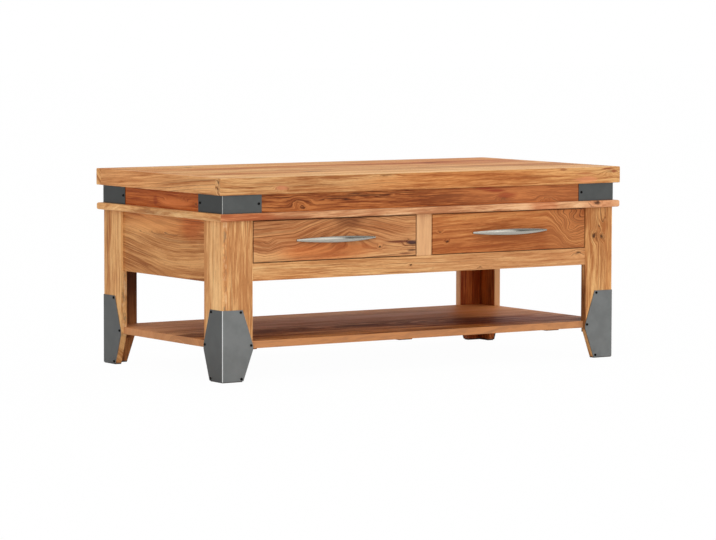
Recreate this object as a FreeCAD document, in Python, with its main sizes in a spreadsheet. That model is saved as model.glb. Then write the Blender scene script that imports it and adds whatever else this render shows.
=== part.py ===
import FreeCAD, Part
import os
import re
import Sketcher

# A coffee table with two drawers and a low shelf, in solid wood with folded steel corner brackets.
# The origin is on the floor under the middle of the top. X runs along the table, the drawers open
# towards -Y and Z is up. Sizes are in millimetres.

Vector = FreeCAD.Vector
Rotation = FreeCAD.Rotation

SIZES = {
    # Top: planks inside a frame of deeper edge boards
    "table_height": 450,
    "top_length": 1100,
    "top_width": 550,
    "top_thickness": 38,
    "top_edge_width": 22,
    "top_plank_thickness": 20,
    "top_batten_width": 60,
    "top_batten_spacing": 380,
    "top_round": 2,
    # Frieze and ledge under the top
    "body_inset": 13,
    "frieze_height": 41,
    "frieze_thickness": 20,
    "ledge_thickness": 16,
    "ledge_width": 70,
    "ledge_inset": 1,
    "ledge_round": 4,
    # Legs: two boards each
    "leg_width": 78,
    "leg_board": 16,
    "foot_width": 51,
    "leg_taper_height": 76,
    # Case between the legs
    "front_recess": 1.5,
    "rail_height": 39,
    "rail_thickness": 20,
    "drawer_opening": 95,
    "stile_width": 41,
    "panel_height": 137.5,
    "panel_recess": 6,
    "panel_thickness": 16,
    "divider_thickness": 18,
    # Joints between boards
    "tenon_thickness": 8,
    "tenon_length": 24,
    "tenon_shoulder": 5,
    "stile_tenon_length": 15,
    "tongue_thickness": 6,
    "tongue_length": 8,
    "tongue_setback": 1.5,
    "joint_clearance": 0.2,
    # Shelf
    "shelf_under": 72,
    "shelf_thickness": 16,
    "shelf_inset": 7,
    "shelf_batten_width": 36,
    "shelf_batten_thickness": 10,
    "shelf_batten_setback": 60,
    "shelf_batten_spacing": 420,
    "shelf_batten_bevel": 8,
    "shelf_block_side": 34,
    "shelf_block_height": 14,
    # Drawer runners, kickers and stops
    "runner_thickness": 18,
    "runner_reach": 8,
    "runner_clearance": 0.3,
    "guide_height": 12,
    "guide_clearance": 1,
    "kicker_reach": 10,
    "kicker_lap": 16,
    "kicker_clearance": 2,
    "drawer_travel": 300,
    "stop_width": 20,
    "stop_gap": 0.5,
    "stop_block_width": 60,
    "stop_block_height": 30,
    # Drawer boxes
    "drawer_gap": 2,
    "drawer_under_gap": 1.2,
    "drawer_front_thickness": 20,
    "drawer_round": 1.2,
    "drawer_box_inset": 1.5,
    "drawer_side_thickness": 12,
    "drawer_side_height": 74,
    "drawer_rear_room": 30.5,
    "drawer_back_thickness": 12,
    "drawer_back_rise": 10,
    "drawer_bottom_thickness": 5,
    "drawer_bottom_lift": 8,
    "drawer_groove_depth": 6,
    "drawer_housing_depth": 6,
    # Bow handles
    "handle_length": 210,
    "handle_height": 14.5,
    "handle_depth": 7,
    "handle_projection": 22,
    "handle_tip_height": 4.5,
    "handle_tip_depth": 3,
    "handle_centres": 160,
    "handle_post_radius": 3.4,
    "handle_drop": 0.5,
    "handle_cover": 2,
    "handle_screw_radius": 2,
    "handle_screw_head_radius": 4,
    "handle_screw_head_height": 2.6,
    # Folded steel brackets
    "bracket_thickness": 1.5,
    "bracket_bend": 2,
    "bracket_floor_gap": 2,
    "bracket_top": 159,
    "bracket_shoulder_low": 70,
    "bracket_shoulder_high": 80,
    "bracket_top_width": 51,
    "bracket_shoulder_width": 78,
    "bracket_foot_width": 53,
    "corner_flange": 100,
    "corner_bracket_fit": 0.4,
    "corner_screw_edge": 7.5,
    # Screws of the brackets
    "screw_edge": 5,
    "screw_head_radius": 3,
    "screw_head_height": 1.8,
    "screw_head_rim": 0.5,
    "screw_radius": 1.5,
    "screw_length": 13,
    "screw_recess_width": 0.7,
    "screw_recess_length": 3.4,
    "screw_recess_depth": 0.9,
    "screw_clearance": 0.05,
    # Eased edges
    "edge_round": 0.8,
    "seam_round": 0.5,
}

PLACES = {
    # Levels
    "top_under": "table_height - top_thickness",
    "ledge_top": "top_under - frieze_height",
    "ledge_under": "ledge_top - ledge_thickness",
    "rail_top": "ledge_under - drawer_opening",
    "rail_under": "rail_top - rail_height",
    "panel_under": "ledge_under - panel_height",
    "side_under": "rail_top + drawer_under_gap",
    "side_top": "side_under + drawer_side_height",
    "bottom_under": "side_under + drawer_bottom_lift",
    "bottom_top": "bottom_under + drawer_bottom_thickness",
    "runner_top": "side_under - runner_clearance",
    "kicker_under": "side_top + kicker_clearance",
    "handle_level": "rail_top + drawer_opening / 2 - handle_drop",
    # Distances from the middle of the table, along X and Y
    "top_inner_x": "top_length / 2 - top_edge_width",
    "top_inner_y": "top_width / 2 - top_edge_width",
    "ledge_x": "top_length / 2 - ledge_inset",
    "ledge_y": "top_width / 2 - ledge_inset",
    "body_x": "top_length / 2 - body_inset",
    "body_y": "top_width / 2 - body_inset",
    "opening_x": "body_x - leg_width",
    "opening_y": "body_y - leg_width",
    "shelf_x": "body_x - shelf_inset",
    "shelf_y": "body_y - shelf_inset",
    "panel_x": "body_x - panel_recess",
    "panel_y": "body_y - panel_recess",
    "panel_inner_x": "panel_x - panel_thickness",
    "panel_inner_y": "panel_y - panel_thickness",
    "front_y": "body_y - front_recess",
    "rail_back_y": "front_y - rail_thickness",
    "tenon_y": "body_y - leg_board / 2",
    # Left drawer, as distances to the left of the middle
    "drawer_outer": "opening_x - drawer_gap",
    "drawer_inner": "stile_width / 2 + drawer_gap",
    "drawer_middle": "(drawer_outer + drawer_inner) / 2",
    "box_outer": "drawer_outer - drawer_box_inset",
    "box_inner": "drawer_inner + drawer_box_inset",
    "room_outer": "box_outer - drawer_side_thickness",
    "room_inner": "box_inner + drawer_side_thickness",
    "front_back_y": "front_y - drawer_front_thickness",
    "drawer_depth": "front_back_y + panel_inner_y - drawer_rear_room",
    "box_rear_y": "drawer_depth - front_back_y",
    "room_rear_y": "box_rear_y - drawer_back_thickness",
    "stop_y": "room_rear_y - drawer_travel - stop_gap",
    # Handle: how far the bow stands out where its screws are
    "post_share": "handle_centres / handle_length",
    "post_swell": "1 - post_share ^ 2",
    "post_reach": "handle_tip_depth + (handle_projection - handle_tip_depth) * post_swell",
    "post_length": "post_reach - (handle_tip_depth + (handle_depth - handle_tip_depth) * post_swell) / 2",
    "thread_depth": "post_reach - handle_cover",
}

HOME = {alias: "Sizes." + alias for alias in SIZES} | {alias: "Places." + alias for alias in PLACES}

TOP_PLANKS = 5
SHELF_PLANKS = 5
HANDLE_STATIONS = (-1, -0.8, -0.5, 0, 0.5, 0.8, 1)

# How far a cutting tool runs past the wood that it cuts
OVERRUN = 2

ACROSS_X = Vector(1, 0, 0)
ACROSS_Y = Vector(0, 1, 0)

# Turns that point a piece's own Z axis along the table's axes
TO_LEFT = Rotation(Vector(0, 1, 0), -90)
TO_RIGHT = Rotation(Vector(0, 1, 0), 90)
TO_FRONT = Rotation(Vector(1, 0, 0), 90)
TO_BACK = Rotation(Vector(1, 0, 0), -90)

# An ellipse upright across the table's length
HANDLE_SECTION = Rotation(Vector(0, 0, 1), Vector(0, -1, 0), Vector(1, 0, 0))

doc = FreeCAD.newDocument("coffee_table")


def formula(text):
    return re.sub(r"[a-z][a-z_]*", lambda word: HOME.get(word.group(), word.group()), str(text))


def fill_sheet(name, cells):
    sheet = doc.addObject("Spreadsheet::Sheet", name)
    for row, (alias, content) in enumerate(cells.items(), start=1):
        sheet.set(f"A{row}", alias.replace("_", " "))
        sheet.set(f"B{row}", content)
        sheet.setAlias(f"B{row}", alias)
    doc.recompute()
    return sheet


sizes = fill_sheet("Sizes", {alias: str(size) for alias, size in SIZES.items()})
places = fill_sheet("Places", {alias: "=" + formula(text) for alias, text in PLACES.items()})


def measure(text):
    return float(sizes.evalExpression(formula(text)))


def bind(thing, **formulas):
    for name, text in formulas.items():
        thing.setExpression(name, formula(text))


def bind_base(thing, point):
    for axis, text in zip("xyz", point):
        thing.setExpression("Placement.Base." + axis, formula(text))


def origin_plane(body, role):
    return next(plane for plane in body.Origin.OriginFeatures if plane.Role == role)


class Piece:
    # A body that stands at its own low corner. Blocks, cuts and bores are given where they are on
    # the table, sketches from the body's corner.

    def __init__(self, label, low, turn=Rotation()):
        self.body = doc.addObject("PartDesign::Body", label)
        self.body.Placement = FreeCAD.Placement(Vector(), turn)
        self.low = low
        bind_base(self.body, low)

    def add(self, kind, name):
        return self.body.newObject(kind, f"{self.body.Name}_{name}")

    def local(self, point):
        return [f"({place}) - ({corner})" for place, corner in zip(point, self.low)]

    def block(self, name, low, size, kind="Additive"):
        box = self.add(f"PartDesign::{kind}Box", name)
        bind_base(box, self.local(low))
        bind(box, Length=size[0], Width=size[1], Height=size[2])

    def cut(self, name, low, size):
        self.block(name, low, size, "Subtractive")

    def bore(self, name, start, turn, radius, depth):
        hole = self.add("PartDesign::SubtractiveCylinder", name)
        hole.Placement = FreeCAD.Placement(Vector(), turn)
        bind_base(hole, self.local(start))
        bind(hole, Radius=radius, Height=depth)

    def outline(self, name, role, points):
        sketch = self.add("Sketcher::SketchObject", name)
        sketch.AttachmentSupport = (origin_plane(self.body, role), [""])
        sketch.MapMode = "FlatFace"
        corners = [Vector(measure(x), measure(y), 0) for x, y in points]
        count = len(points)
        for index, corner in enumerate(corners):
            sketch.addGeometry(Part.LineSegment(corner, corners[(index + 1) % count]), False)
        for index, (x, y) in enumerate(points):
            sketch.addConstraint(Sketcher.Constraint("Coincident", index, 2, (index + 1) % count, 1))
            for kind, text, line in (("DistanceX", x, -2), ("DistanceY", y, -1)):
                if text == "0":
                    sketch.addConstraint(Sketcher.Constraint("PointOnObject", index, 1, line))
                    continue
                number = sketch.addConstraint(Sketcher.Constraint(kind, -1, 1, index, 1, measure(text)))
                sketch.setExpression(f"Constraints[{number}]", formula(text))
        return sketch

    def pad(self, name, role, points, depth):
        sketch = self.outline(name + "_outline", role, points)
        solid = self.add("PartDesign::Pad", name)
        solid.Profile = sketch
        solid.Reversed = role == "XZ_Plane"
        bind(solid, Length=depth)

    def ease(self, name, radius, wanted=None):
        base = self.body.Tip
        rounding = self.add("PartDesign::Fillet", name)
        doc.recompute()
        edges = enumerate(base.Shape.Edges, start=1)
        names = [f"Edge{number}" for number, edge in edges if not wanted or wanted(edge.CenterOfMass)]
        rounding.Base = (base, names)
        bind(rounding, Radius=radius)


def board(label, low, size, radius=None):
    piece = Piece(label, low)
    piece.block("board", low, size)
    if radius:
        piece.ease("eased_edges", radius)
    return piece


def mirror(label, source, normal):
    copy = doc.addObject("Part::Mirroring", label)
    copy.Source = source
    copy.Normal = normal
    return copy


def group(label, members):
    together = doc.addObject("Part::Compound", label)
    together.Links = members
    return together


def left_and_right(left):
    return [left, mirror(left.Label.replace("left", "right"), left, ACROSS_X)]


def front_and_back(front):
    return [front, mirror(front.Label.replace("front", "back"), front, ACROSS_Y)]


def four_corners(front_left):
    fronts = left_and_right(front_left)
    return fronts + [front_and_back(front)[1] for front in fronts]


def middle_and_both_sides(label, middle, left):
    return group(label, [middle] + left_and_right(left))


def top_boards():
    front = Piece("top_front_edge", ("-top_length / 2", "-top_width / 2", "top_under"))
    front.block("board", front.low, ("top_length", "top_edge_width", "top_thickness"))
    inner_face = measure("top_edge_width")
    front.ease("outer_edges", "top_round", lambda middle: middle.y < inner_face - 1e-6)

    end = Piece("top_left_end", ("-top_length / 2", "-top_inner_y", "top_under"))
    end.block("board", end.low, ("top_edge_width", "2 * top_inner_y", "top_thickness"))
    end.ease("outer_edges", "top_round", lambda middle: abs(middle.x) < 1e-6 and abs(middle.y) > 1
             and abs(middle.y - 2 * measure("top_inner_y")) > 1)

    planks = []
    width = f"(2 * top_inner_y / {TOP_PLANKS})"
    for index in range(TOP_PLANKS):
        low = ("-top_inner_x", f"-top_inner_y + {index} * {width}", "table_height - top_plank_thickness")
        size = ("2 * top_inner_x", width, "top_plank_thickness")
        planks.append(board(f"top_plank_{index + 1}", low, size, "seam_round").body)
    return front_and_back(front.body) + left_and_right(end.body) + planks


def top_batten(label, middle_x):
    low = (f"{middle_x} - top_batten_width / 2", "-top_inner_y", "top_under")
    size = ("top_batten_width", "2 * top_inner_y", "top_thickness - top_plank_thickness")
    return board(label, low, size, "edge_round").body


def top_battens():
    middle = top_batten("middle_top_batten", "0")
    left = top_batten("left_top_batten", "-top_batten_spacing")
    return [middle_and_both_sides("top_battens", middle, left)]


def corner_screw_places():
    reach = "corner_flange - corner_screw_edge"
    level = "ledge_top + frieze_height / 2"
    return ((f"-body_x + {reach}", "-body_y", level), ("-body_x", f"-body_y + {reach}", level))


def corner_screw_seats():
    # The same places on the outer faces of the bracket
    face_screw, side_screw = corner_screw_places()
    return ((face_screw[0], "-body_y - bracket_thickness", face_screw[2]),
            ("-body_x - bracket_thickness", side_screw[1], side_screw[2]))


def frieze_boards():
    face_screw, side_screw = corner_screw_places()
    pilot = "screw_radius + screw_clearance"
    front = board("frieze_front", ("-body_x", "-body_y", "ledge_top"),
                  ("2 * body_x", "frieze_thickness", "frieze_height"), "edge_round")
    right_screw = (f"-({face_screw[0]})", face_screw[1], face_screw[2])
    front.bore("left_pilot", face_screw, TO_BACK, pilot, "screw_length")
    front.bore("right_pilot", right_screw, TO_BACK, pilot, "screw_length")

    left = board("frieze_left", ("-body_x", "-body_y + frieze_thickness", "ledge_top"),
                 ("frieze_thickness", "2 * (body_y - frieze_thickness)", "frieze_height"), "edge_round")
    back_screw = (side_screw[0], f"-({side_screw[1]})", side_screw[2])
    left.bore("front_pilot", side_screw, TO_RIGHT, pilot, "screw_length")
    left.bore("back_pilot", back_screw, TO_RIGHT, pilot, "screw_length")
    return front_and_back(front.body) + left_and_right(left.body)


def ledge_boards():
    front = Piece("ledge_front", ("-ledge_x", "-ledge_y", "ledge_under"))
    front.pad("board", "XY_Plane", (("0", "0"), ("2 * ledge_x", "0"),
                                    ("2 * ledge_x - ledge_width", "ledge_width"),
                                    ("ledge_width", "ledge_width")), "ledge_thickness")
    upright = measure("ledge_thickness / 2")
    front.ease("outer_edges", "ledge_round",
               lambda middle: abs(middle.y) < 1e-6 and abs(middle.z - upright) > 1e-6)

    left = Piece("ledge_left", ("-ledge_x", "-ledge_y", "ledge_under"))
    left.pad("board", "XY_Plane", (("0", "0"), ("ledge_width", "ledge_width"),
                                   ("ledge_width", "2 * ledge_y - ledge_width"), ("0", "2 * ledge_y")),
             "ledge_thickness")
    left.ease("outer_edges", "ledge_round",
              lambda middle: abs(middle.x) < 1e-6 and abs(middle.z - upright) > 1e-6)
    return front_and_back(front.body) + left_and_right(left.body)


def bracket_screw_spots():
    # Distance from the leg's corner and height of each screw, the same on both flanges
    return (("bracket_top_width - screw_edge", "bracket_top - screw_edge"),
            ("bracket_shoulder_width - screw_edge", "bracket_shoulder_high"),
            ("bracket_foot_width - screw_edge", "bracket_floor_gap + screw_edge"))


def leg_outline(start):
    return (("0", "0"), (f"foot_width - {start}", "0"), (f"leg_width - {start}", "leg_taper_height"),
            (f"leg_width - {start}", "ledge_under"), ("0", "ledge_under"))


def leg_side():
    piece = Piece("front_left_leg_side", ("-body_x", "-body_y", "0"))
    piece.pad("board", "YZ_Plane", leg_outline("0"), "leg_board")
    piece.ease("eased_edges", "edge_round")
    piece.cut("panel_groove",
              ("-panel_x + tongue_setback - joint_clearance",
               "-opening_y - tongue_length - joint_clearance",
               "panel_under - joint_clearance"),
              ("tongue_thickness + 2 * joint_clearance",
               f"tongue_length + joint_clearance + {OVERRUN}",
               f"panel_height + joint_clearance + {OVERRUN}"))
    for number, (along, height) in enumerate(bracket_screw_spots(), start=1):
        piece.bore(f"pilot_{number}", ("-body_x", f"-body_y + {along}", height), TO_RIGHT,
                   "screw_radius + screw_clearance", "screw_length")
    return piece.body


def leg_face(label):
    piece = Piece(label, ("-body_x + leg_board", "-body_y", "0"))
    piece.pad("board", "XZ_Plane", leg_outline("leg_board"), "leg_board")
    piece.ease("eased_edges", "edge_round")
    for number, (along, height) in enumerate(bracket_screw_spots(), start=1):
        piece.bore(f"pilot_{number}", (f"-body_x + {along}", "-body_y", height), TO_BACK,
                   "screw_radius + screw_clearance", "screw_length")
    return piece


def front_leg_face():
    piece = leg_face("front_left_leg_face")
    piece.cut("rail_mortise",
              ("-opening_x - tenon_length - joint_clearance",
               "-tenon_y - tenon_thickness / 2 - joint_clearance",
               "rail_under + tenon_shoulder - joint_clearance"),
              (f"tenon_length + joint_clearance + {OVERRUN}",
               "tenon_thickness + 2 * joint_clearance",
               "rail_height - 2 * tenon_shoulder + 2 * joint_clearance"))
    return piece.body


def back_leg_face():
    # Modelled at the front like its fellow, with the back panel's groove, and mirrored to the back
    piece = leg_face("plain_left_leg_face")
    piece.cut("panel_groove",
              ("-opening_x - tongue_length - joint_clearance",
               "-panel_y + tongue_setback - joint_clearance",
               "panel_under - joint_clearance"),
              (f"tongue_length + joint_clearance + {OVERRUN}",
               "tongue_thickness + 2 * joint_clearance",
               f"panel_height + joint_clearance + {OVERRUN}"))
    return mirror("back_left_leg_face", piece.body, ACROSS_Y)


def legs():
    return four_corners(leg_side()) + left_and_right(front_leg_face()) + left_and_right(back_leg_face())


def fold(piece, radius):
    piece.ease("fold", radius, lambda middle: abs(middle.x) < 1e-6 and abs(middle.y) < 1e-6)


def leg_bracket():
    piece = Piece("front_left_leg_bracket",
                  ("-body_x - bracket_thickness", "-body_y - bracket_thickness", "bracket_floor_gap"))
    flange = (("0", "0"), ("bracket_thickness + bracket_foot_width", "0"),
              ("bracket_thickness + bracket_shoulder_width", "bracket_shoulder_low - bracket_floor_gap"),
              ("bracket_thickness + bracket_shoulder_width", "bracket_shoulder_high - bracket_floor_gap"),
              ("bracket_thickness + bracket_top_width", "bracket_top - bracket_floor_gap"),
              ("0", "bracket_top - bracket_floor_gap"))
    piece.pad("face_flange", "XZ_Plane", flange, "bracket_thickness")
    piece.pad("side_flange", "YZ_Plane", flange, "bracket_thickness")
    fold(piece, "bracket_bend")
    hole = "screw_radius + screw_clearance"
    through = f"bracket_thickness + {OVERRUN}"
    for number, (along, height) in enumerate(bracket_screw_spots(), start=1):
        piece.bore(f"face_hole_{number}", (f"-body_x + {along}", "-body_y - bracket_thickness", height),
                   TO_BACK, hole, through)
        piece.bore(f"side_hole_{number}", ("-body_x - bracket_thickness", f"-body_y + {along}", height),
                   TO_RIGHT, hole, through)
    return piece.body


def corner_bracket():
    low = ("-body_x - bracket_thickness", "-body_y - bracket_thickness", "ledge_top + corner_bracket_fit")
    height = "frieze_height - 2 * corner_bracket_fit"
    piece = Piece("front_left_corner_bracket", low)
    piece.block("face_flange", low, ("corner_flange + bracket_thickness", "bracket_thickness", height))
    piece.block("side_flange", low, ("bracket_thickness", "corner_flange + bracket_thickness", height))
    fold(piece, "bracket_bend")
    face_seat, side_seat = corner_screw_seats()
    hole = "screw_radius + screw_clearance"
    through = f"bracket_thickness + {OVERRUN}"
    piece.bore("face_hole", face_seat, TO_BACK, hole, through)
    piece.bore("side_hole", side_seat, TO_RIGHT, hole, through)
    return piece.body


def screw(label, seat, turn, head_radius, head_height, radius, length):
    # Its head stands on the seat, its shank goes down and its Z axis points out of the head
    piece = Piece(label, seat, turn)
    head = piece.add("PartDesign::AdditiveCylinder", "head")
    bind(head, Radius=head_radius, Height=head_height)
    crown = measure(head_height)
    piece.ease("dome", f"{head_height} - screw_head_rim", lambda middle: abs(middle.z - crown) < 1e-6)
    shank = piece.add("PartDesign::AdditiveCylinder", "shank")
    bind(shank, Radius=radius, Height=length)
    bind_base(shank, ("0", "0", f"-({length})"))
    for name, along, across in (("recess_one", "screw_recess_length", "screw_recess_width"),
                                ("recess_two", "screw_recess_width", "screw_recess_length")):
        slot = piece.add("PartDesign::SubtractiveBox", name)
        bind(slot, Length=along, Width=across, Height=f"screw_recess_depth + {OVERRUN}")
        bind_base(slot, (f"-{along} / 2", f"-{across} / 2", f"{head_height} - screw_recess_depth"))
    return piece.body


def bracket_screw(label, seat, turn):
    return screw(label, seat, turn, "screw_head_radius", "screw_head_height", "screw_radius",
                 "screw_length + bracket_thickness - joint_clearance")


def leg_bracket_screws():
    screws = []
    for number, (along, height) in enumerate(bracket_screw_spots(), start=1):
        face_seat = (f"-body_x + {along}", "-body_y - bracket_thickness", height)
        side_seat = ("-body_x - bracket_thickness", f"-body_y + {along}", height)
        screws.append(bracket_screw(f"face_screw_{number}", face_seat, TO_FRONT))
        screws.append(bracket_screw(f"side_screw_{number}", side_seat, TO_LEFT))
    return group("leg_bracket_screws", four_corners(group("front_left_leg_screws", screws)))


def corner_bracket_screws():
    face_seat, side_seat = corner_screw_seats()
    screws = [bracket_screw("corner_face_screw", face_seat, TO_FRONT),
              bracket_screw("corner_side_screw", side_seat, TO_LEFT)]
    return group("corner_bracket_screws", four_corners(group("front_left_corner_screws", screws)))


def brackets():
    return (four_corners(corner_bracket()) + [corner_bracket_screws()]
            + four_corners(leg_bracket()) + [leg_bracket_screws()])


def front_rail():
    low = ("-opening_x", "-front_y", "rail_under")
    piece = board("front_rail", low, ("2 * opening_x", "rail_thickness", "rail_height"), "edge_round")
    tenon_low = ("-tenon_y - tenon_thickness / 2", "rail_under + tenon_shoulder")
    tenon_size = ("tenon_length", "tenon_thickness", "rail_height - 2 * tenon_shoulder")
    piece.block("left_tenon", ("-opening_x - tenon_length",) + tenon_low, tenon_size)
    piece.block("right_tenon", ("opening_x",) + tenon_low, tenon_size)
    piece.cut("stile_mortise",
              ("-stile_width / 2 + tenon_shoulder - joint_clearance",
               "-tenon_y - tenon_thickness / 2 - joint_clearance",
               "rail_top - stile_tenon_length - joint_clearance"),
              ("stile_width - 2 * tenon_shoulder + 2 * joint_clearance",
               "tenon_thickness + 2 * joint_clearance",
               f"stile_tenon_length + joint_clearance + {OVERRUN}"))
    return piece.body


def front_stile():
    low = ("-stile_width / 2", "-front_y", "rail_top")
    piece = board("front_stile", low, ("stile_width", "rail_thickness", "drawer_opening"), "edge_round")
    piece.block("tenon",
                ("-stile_width / 2 + tenon_shoulder", "-tenon_y - tenon_thickness / 2",
                 "rail_top - stile_tenon_length"),
                ("stile_width - 2 * tenon_shoulder", "tenon_thickness", "stile_tenon_length"))
    return piece.body


def end_panel():
    low = ("-panel_x", "-opening_y", "panel_under")
    piece = board("left_end_panel", low, ("panel_thickness", "2 * opening_y", "panel_height"), "edge_round")
    tongue = ("tongue_thickness", "tongue_length", "panel_height")
    tongue_x = "-panel_x + tongue_setback"
    piece.block("front_tongue", (tongue_x, "-opening_y - tongue_length", "panel_under"), tongue)
    piece.block("back_tongue", (tongue_x, "opening_y", "panel_under"), tongue)
    return piece.body


def back_panel():
    low = ("-opening_x", "panel_inner_y", "panel_under")
    piece = board("back_panel", low, ("2 * opening_x", "panel_thickness", "panel_height"), "edge_round")
    tongue = ("tongue_length", "tongue_thickness", "panel_height")
    tongue_y = "panel_y - tongue_setback - tongue_thickness"
    piece.block("left_tongue", ("-opening_x - tongue_length", tongue_y, "panel_under"), tongue)
    piece.block("right_tongue", ("opening_x", tongue_y, "panel_under"), tongue)
    return piece.body


def case():
    divider = board("centre_divider", ("-divider_thickness / 2", "-rail_back_y", "rail_under"),
                    ("divider_thickness", "rail_back_y + panel_inner_y", "ledge_under - rail_under"))
    return [front_rail(), front_stile()] + left_and_right(end_panel()) + [back_panel(), divider.body]


def drawer_runners():
    # A runner carries each drawer side, and a strip on top of it guides that side
    length = "rail_back_y + panel_inner_y"
    bed_low = "runner_top - runner_thickness"
    pieces = [
        board("left_outer_runner", ("-panel_inner_x", "-rail_back_y", bed_low),
              ("panel_inner_x - room_outer + runner_reach", length, "runner_thickness")),
        board("left_outer_guide", ("-panel_inner_x", "-rail_back_y", "runner_top"),
              ("panel_inner_x - box_outer - guide_clearance", length, "guide_height")),
        board("left_inner_runner", ("-room_inner - runner_reach", "-rail_back_y", bed_low),
              ("room_inner + runner_reach - divider_thickness / 2", length, "runner_thickness")),
        board("left_inner_guide", ("-box_inner + guide_clearance", "-rail_back_y", "runner_top"),
              ("box_inner - guide_clearance - divider_thickness / 2", length, "guide_height")),
    ]
    return group("drawer_runners", [half for piece in pieces for half in left_and_right(piece.body)])


def drawer_kickers():
    length = "rail_back_y + panel_inner_y"
    height = "ledge_under - kicker_under"
    outer = board("left_outer_kicker", ("-opening_x - kicker_lap", "-rail_back_y", "kicker_under"),
                  ("opening_x + kicker_lap - room_outer + kicker_reach", length, height), "edge_round")
    inner = board("left_inner_kicker", ("-room_inner - kicker_reach", "-rail_back_y", "kicker_under"),
                  ("room_inner + kicker_reach - divider_thickness / 2", length, height), "edge_round")
    return group("drawer_kickers", left_and_right(outer.body) + left_and_right(inner.body))


def drawer_stops():
    # A bar between the kickers catches the raised back of the open drawer, a block behind the shut one
    bar = board("left_out_stop", ("-room_outer + kicker_reach", "stop_y - stop_width", "kicker_under"),
                ("room_outer - room_inner - 2 * kicker_reach", "stop_width", "ledge_under - kicker_under"))
    rear = board("left_rear_stop",
                 ("-drawer_middle - stop_block_width / 2", "box_rear_y + stop_gap", "bottom_top"),
                 ("stop_block_width", "panel_inner_y - box_rear_y - stop_gap", "stop_block_height"))
    return group("drawer_stops", left_and_right(bar.body) + left_and_right(rear.body))


def shelf_planks():
    width = f"(2 * shelf_y / {SHELF_PLANKS})"
    size = ("2 * shelf_x", width, "shelf_thickness")
    planks = []
    for index in range(SHELF_PLANKS - 1):
        low = ("-shelf_x", f"-shelf_y + {index} * {width}", "shelf_under")
        planks.append(board(f"shelf_plank_{index + 1}", low, size, "seam_round"))

    # The outer planks are notched round both boards of each leg
    front = planks[0]
    depth = f"shelf_thickness + 2 * {OVERRUN}"
    side_notch = (f"leg_board - shelf_inset + joint_clearance + {OVERRUN}",
                  f"leg_width - shelf_inset + joint_clearance + {OVERRUN}", depth)
    face_notch = (f"leg_width - shelf_inset + joint_clearance + {OVERRUN}",
                  f"leg_board - shelf_inset + joint_clearance + {OVERRUN}", depth)
    low_y = f"-shelf_y - {OVERRUN}"
    low_z = f"shelf_under - {OVERRUN}"
    for name, size in (("side_notch", side_notch), ("face_notch", face_notch)):
        front.cut("left_" + name, (f"-shelf_x - {OVERRUN}", low_y, low_z), size)
        front.cut("right_" + name, (f"shelf_x + {OVERRUN} - ({size[0]})", low_y, low_z), size)
    bodies = [plank.body for plank in planks]
    return group("shelf_planks", bodies + [mirror("shelf_plank_back", front.body, ACROSS_Y)])


def shelf_batten(label, middle_x):
    piece = Piece(label, (f"{middle_x} - shelf_batten_width / 2", "-shelf_y + shelf_batten_setback",
                          "shelf_under - shelf_batten_thickness"))
    length = "2 * (shelf_y - shelf_batten_setback)"
    piece.pad("board", "YZ_Plane", (("shelf_batten_bevel", "0"), (f"{length} - shelf_batten_bevel", "0"),
                                    (length, "shelf_batten_thickness"), ("0", "shelf_batten_thickness")),
              "shelf_batten_width")
    piece.ease("eased_edges", "seam_round")
    return piece.body


def shelf():
    left = shelf_batten("left_shelf_batten", "-shelf_batten_spacing")
    battens = middle_and_both_sides("shelf_battens", shelf_batten("middle_shelf_batten", "0"), left)
    block = board("front_left_shelf_block",
                  ("-body_x + leg_board", "-body_y + leg_board", "shelf_under - shelf_block_height"),
                  ("shelf_block_side", "shelf_block_side", "shelf_block_height"))
    return [shelf_planks(), battens, group("shelf_corner_blocks", four_corners(block.body))]


def drawer_front():
    low = ("-drawer_outer", "-front_y", "side_under")
    size = ("drawer_outer - drawer_inner", "drawer_front_thickness",
            "drawer_opening - drawer_gap - drawer_under_gap")
    piece = board("left_drawer_front", low, size, "drawer_round")
    housing = ("drawer_side_thickness + 2 * joint_clearance",
               f"drawer_housing_depth + joint_clearance + {OVERRUN}",
               f"drawer_side_height + joint_clearance + {OVERRUN}")
    housing_y = "-front_back_y - drawer_housing_depth - joint_clearance"
    housing_z = f"side_under - {OVERRUN}"
    piece.cut("outer_housing", ("-box_outer - joint_clearance", housing_y, housing_z), housing)
    piece.cut("inner_housing", ("-room_inner - joint_clearance", housing_y, housing_z), housing)
    piece.cut("bottom_groove",
              ("-room_outer", "-front_back_y - drawer_groove_depth", "bottom_under - joint_clearance"),
              ("room_outer - room_inner", f"drawer_groove_depth + {OVERRUN}",
               "drawer_bottom_thickness + 2 * joint_clearance"))
    for side in ("-", "+"):
        start = (f"-drawer_middle {side} handle_centres / 2", "-front_back_y", "handle_level")
        piece.bore("left_hole" if side == "-" else "right_hole", start, TO_FRONT,
                   "handle_screw_radius + joint_clearance", f"drawer_front_thickness + {OVERRUN}")
    return piece.body


def drawer_side(label, low_x, groove_x):
    low = (low_x, "-front_back_y - drawer_housing_depth", "side_under")
    length = "drawer_depth + drawer_housing_depth"
    piece = board(label, low, ("drawer_side_thickness", length, "drawer_side_height"), "edge_round")
    piece.cut("bottom_groove", (groove_x, f"{low[1]} - {OVERRUN}", "bottom_under - joint_clearance"),
              (f"drawer_groove_depth + {OVERRUN}", f"{length} + 2 * {OVERRUN}",
               "drawer_bottom_thickness + 2 * joint_clearance"))
    return piece.body


def drawer_back():
    # The strip on its top edge passes between the kickers and meets the out-stop
    width = "room_outer - room_inner"
    notch = "(kicker_reach + kicker_clearance)"
    plain = board("plain_drawer_back", ("-room_outer", "room_rear_y", "bottom_top"),
                  (width, "drawer_back_thickness", "side_top - bottom_top"))
    strip = board("drawer_back_strip", (f"-room_outer + {notch}", "room_rear_y", "side_top"),
                  (f"{width} - 2 * {notch}", "drawer_back_thickness", "drawer_back_rise"))
    return group("left_drawer_back", [plain.body, strip.body])


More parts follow.
